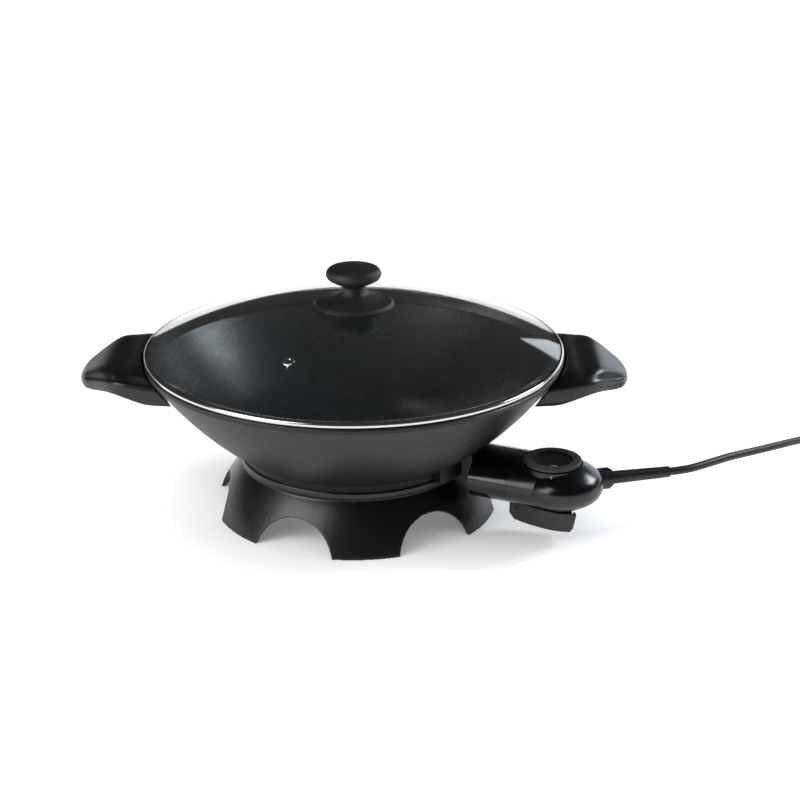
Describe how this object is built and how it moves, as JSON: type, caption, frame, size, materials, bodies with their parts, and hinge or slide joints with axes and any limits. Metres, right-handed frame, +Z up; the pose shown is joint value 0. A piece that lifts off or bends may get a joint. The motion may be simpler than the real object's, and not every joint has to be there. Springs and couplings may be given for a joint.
{
  "type": "electric wok",
  "caption": "Electric wok with cast non-stick pan, glass lid, side handles, legged base and plug-in temperature control with mains lead.",
  "frame": {"origin": "on the pan's axis at the level of the table", "axes": "+Z up along the pan's axis, +X towards one side handle (the one beside the control), +Y away from the viewer of the front"},
  "size_m": [0.7645, 0.3755, 0.2155],
  "materials": {
    "pan_coating": "fine-grained satin non-stick coating on cast aluminium",
    "element_steel": "oxidised steel tube",
    "black_plastic": "satin heat-resistant plastic",
    "handle_plastic": "satin heat-resistant plastic",
    "knob_plastic": "matte heat-resistant plastic",
    "hood_plastic": "polished black plastic",
    "housing_plastic": "semi-gloss black plastic",
    "lever_plastic": "dark grey matte plastic",
    "dial_grey": "grey printed ring",
    "dial_black": "black printed disc",
    "lid_glass": "clear tempered glass",
    "band_steel": "bright stainless steel",
    "eyelet_steel": "pressed stainless steel",
    "reflector_sheet": "plain sheet",
    "screw_steel": "zinc-plated steel",
    "pin_steel": "nickel-plated steel",
    "contact_brass": "plain brass",
    "ceramic": "fired ceramic",
    "seal_rubber": "silicone rubber",
    "cord_rubber": "black rubber sheath",
    "lamp_lens": "smoked clear plastic",
    "lamp_glass": "small neon bulb"
  },
  "bodies": {
    "wok": {"wok_pan": "pan_coating", "heating_element": "element_steel", "sensor_sleeve": "element_steel", "base_skirt": "black_plastic", "heat_reflector": "reflector_sheet", "base_screws": "screw_steel", "element_pins": "pin_steel", "pin_beads": "ceramic", "handle_right": "handle_plastic", "handle_left": "handle_plastic", "handle_washers": "screw_steel", "handle_screws": "screw_steel"},
    "lid": {"lid_band": "band_steel", "lid_glass": "lid_glass", "vent_eyelet": "eyelet_steel", "knob_skirt": "knob_plastic", "lid_knob": "knob_plastic", "knob_seal": "seal_rubber", "knob_washer": "screw_steel", "knob_screw": "screw_steel"},
    "control": {"hood_upper": "hood_plastic", "hood_lower": "hood_plastic", "housing_upper": "housing_plastic", "housing_lower": "housing_plastic", "housing_screws": "screw_steel", "lamp_lens": "lamp_lens", "pilot_lamp": "lamp_glass", "terminal_block": "ceramic", "contact_sleeves": "contact_brass", "temperature_rod": "pin_steel", "thermostat_frame": "reflector_sheet", "insulator_stack": "ceramic", "bimetal_blade": "contact_brass", "contact_blade": "contact_brass", "contact_rivets": "contact_brass", "lever_pin": "screw_steel", "lever_spring": "screw_steel", "cord_collar": "lever_plastic", "strain_relief": "cord_rubber", "cord_tail": "cord_rubber", "cord_clamp": "lever_plastic", "cord": "cord_rubber", "cord_end": "cord_rubber", "cord_coil": "cord_rubber", "cord_tie": "cord_rubber", "plug_body": "cord_rubber", "plug_pins": "pin_steel", "plug_earth_clips": "contact_brass"},
    "dial": {"dial_ring": "dial_grey", "dial_cap": "dial_black", "dial_spindle": "screw_steel"},
    "lever": {"release_lever": "lever_plastic"}
  },
  "joints": [
    {"name": "lid_lift", "type": "slide", "parent": "wok", "child": "lid", "axis": [0, 0, 1], "range_m": [0, 0.12]},
    {"name": "control_pull", "type": "slide", "parent": "wok", "child": "control", "axis": [0.9085, -0.4179, 0], "range_m": [0, 0.065]},
    {"name": "dial_turn", "type": "hinge", "parent": "control", "child": "dial", "pos_m": [0.16689, -0.07676, 0.07], "axis": [0, 0, 1], "range_deg": [0, 270]},
    {"name": "lever_press", "type": "hinge", "parent": "control", "child": "lever", "pos_m": [0.14082, -0.06477, 0.023], "axis": [0.4179, 0.9085, 0], "range_deg": [0, 12], "stiffness_Nm_per_rad": 0.12, "springref_deg": -11.46}
  ]
}
